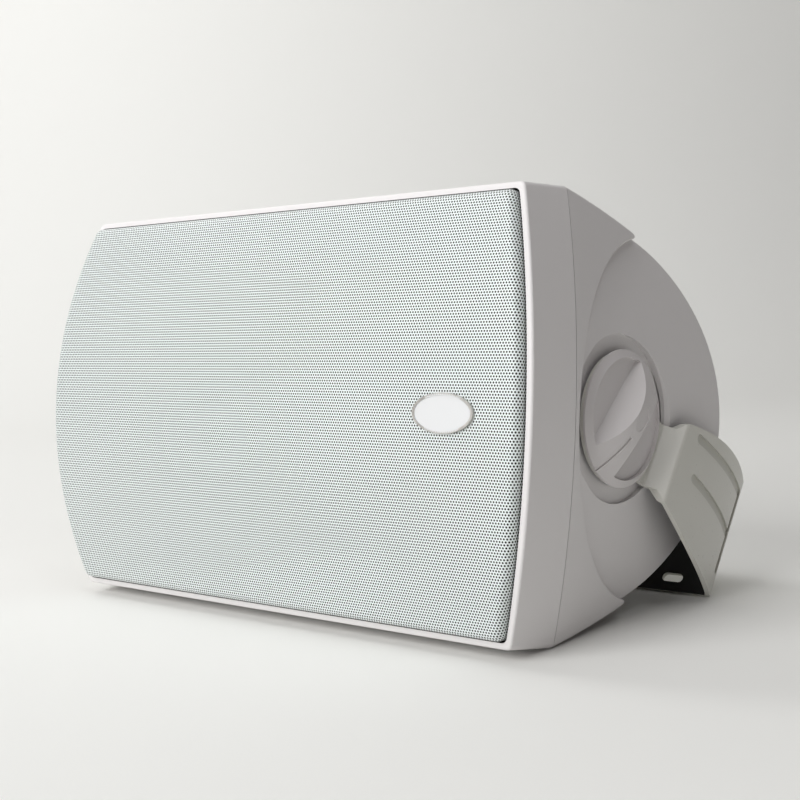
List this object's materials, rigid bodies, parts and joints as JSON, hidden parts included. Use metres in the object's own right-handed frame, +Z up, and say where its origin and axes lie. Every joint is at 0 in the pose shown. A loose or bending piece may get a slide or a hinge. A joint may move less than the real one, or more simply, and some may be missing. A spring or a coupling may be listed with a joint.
{
  "type": "outdoor patio speaker",
  "caption": "Weatherproof bow-ended patio speaker lying on its side, with a curved perforated grille and a swinging U-bracket clamped by thumb knobs.",
  "frame": {"origin": "centre of the bounding box's bottom, on the surface the speaker rests on", "axes": "+X along the cabinet's length, +Y from the grille towards the bracket, +Z up"},
  "size_m": [0.37, 0.211, 0.2208],
  "materials": {
    "cabinet_plastic": "fine satin texture, white",
    "grille_paint": "white powder coat over perforated sheet",
    "badge_metal": "plain satin oval",
    "bracket_paint": "satin grey-white powder coat",
    "knob_plastic": "satin moulded plastic",
    "gasket_foam": "closed-cell foam",
    "washer_rubber": "matte",
    "basket_paint": "black paint",
    "surround_rubber": "soft matte",
    "spider_cloth": "treated cloth",
    "cone_paper": "dark treated paper",
    "magnet_steel": "zinc plated",
    "ferrite": "sintered, matte",
    "screw_steel": "plated",
    "horn_plastic": "black",
    "dome_metal": "bright foil",
    "board_laminate": "green laminate",
    "copper": "enamelled copper wire",
    "capacitor_plastic": "wrapped film",
    "resistor_ceramic": "cement block",
    "cup_plastic": "black",
    "post_brass": "plated brass",
    "cap_red": "red",
    "cap_black": "black"
  },
  "bodies": {
    "cabinet": {"front_baffle": "cabinet_plastic", "rear_cabinet": "cabinet_plastic", "cabinet_gasket": "gasket_foam", "grille": "grille_paint", "badge": "badge_metal", "woofer_basket": "basket_paint", "woofer_surround": "surround_rubber", "spider": "spider_cloth", "woofer_top_plate": "magnet_steel", "woofer_magnet": "ferrite", "woofer_yoke": "magnet_steel", "woofer_screws": "screw_steel", "tweeter_horn": "horn_plastic", "tweeter_plate": "magnet_steel", "tweeter_dome": "dome_metal", "tweeter_magnet": "ferrite", "tweeter_yoke": "magnet_steel", "horn_screws": "screw_steel", "baffle_screws": "screw_steel", "crossover_board": "board_laminate", "crossover_coils": "copper", "crossover_capacitor": "capacitor_plastic", "crossover_resistor": "resistor_ceramic", "board_screws": "screw_steel", "terminal_cup": "cup_plastic", "terminal_screws": "screw_steel", "binding_posts": "post_brass", "pivot_inserts": "post_brass", "friction_washers": "washer_rubber"},
    "bracket": {"bracket": "bracket_paint"},
    "right_knob": {"knob_right": "knob_plastic", "knob_stud_right": "screw_steel"},
    "left_knob": {"knob_left": "knob_plastic", "knob_stud_left": "screw_steel"},
    "red_cap": {"post_cap_red": "cap_red"},
    "black_cap": {"post_cap_black": "cap_black"},
    "cone": {"woofer_cone": "cone_paper", "dust_cap": "cone_paper", "voice_coil": "copper"}
  },
  "joints": [
    {"name": "bracket_swing", "type": "hinge", "parent": "cabinet", "child": "bracket", "pos_m": [0, -0.01813, 0.10541], "axis": [1, 0, 0], "range_deg": [-65, 125]},
    {"name": "right_knob_turn", "type": "hinge", "parent": "cabinet", "child": "right_knob", "pos_m": [0, -0.01813, 0.10541], "axis": [1, 0, 0], "range_deg": [0, 1080]},
    {"name": "left_knob_turn", "type": "hinge", "parent": "cabinet", "child": "left_knob", "pos_m": [0, -0.01813, 0.10541], "axis": [-1, 0, 0], "range_deg": [0, 1080]},
    {"name": "red_cap_turn", "type": "hinge", "parent": "cabinet", "child": "red_cap", "pos_m": [0.00953, 0.06769, 0.09463], "axis": [0, 0.9922, -0.1246], "range_deg": [0, 720]},
    {"name": "black_cap_turn", "type": "hinge", "parent": "cabinet", "child": "black_cap", "pos_m": [-0.00953, 0.06769, 0.09463], "axis": [0, 0.9922, -0.1246], "range_deg": [0, 720]},
    {"name": "cone_travel", "type": "slide", "parent": "cabinet", "child": "cone", "axis": [0, -0.9922, 0.1246], "range_m": [-0.004, 0.004], "stiffness_N_per_m": 1500, "deforming": ["woofer_surround", "spider"]}
  ]
}
